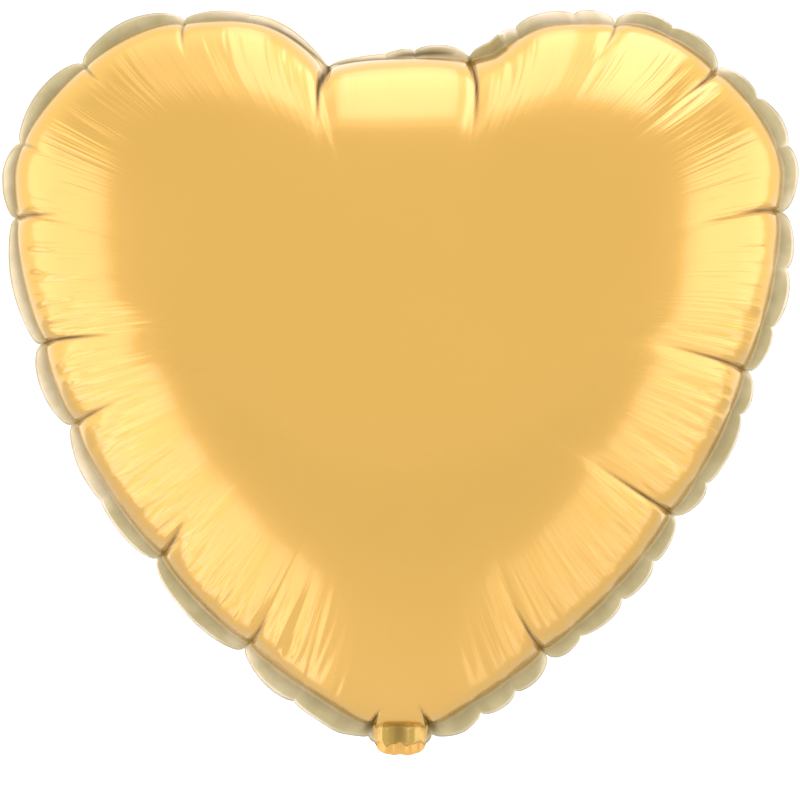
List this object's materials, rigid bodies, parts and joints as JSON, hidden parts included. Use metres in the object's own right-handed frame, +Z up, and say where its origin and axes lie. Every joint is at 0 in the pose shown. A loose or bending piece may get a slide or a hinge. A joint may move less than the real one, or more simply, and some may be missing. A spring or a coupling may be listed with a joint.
{
  "type": "foil balloon",
  "caption": "Inflated heart-shaped foil balloon with a puckered welded seam, and an inflation tail folded up behind it at the neck.",
  "frame": {"origin": "middle of the neck at the heart's tip, in the seam plane, where a ribbon is tied", "axes": "+X to the heart's right lobe seen from the front, +Y out of the back panel, +Z up through the notch"},
  "size_m": [0.3934, 0.1774, 0.371],
  "materials": {
    "gold_foil": "satin",
    "clear_film": "satin"
  },
  "bodies": {
    "balloon": {"front_panel": "gold_foil", "back_panel": "gold_foil", "valve_front_film": "clear_film", "valve_back_film": "clear_film"},
    "tail": {"tail_front_ply": "gold_foil", "tail_back_ply": "gold_foil", "valve_mouth_front_film": "clear_film", "valve_mouth_back_film": "clear_film"}
  },
  "joints": [
    {"name": "tail_fold", "type": "hinge", "parent": "balloon", "child": "tail", "pos_m": [0, 0.00175, -0.002], "axis": [-1, 0, 0], "range_deg": [0, 126]}
  ]
}
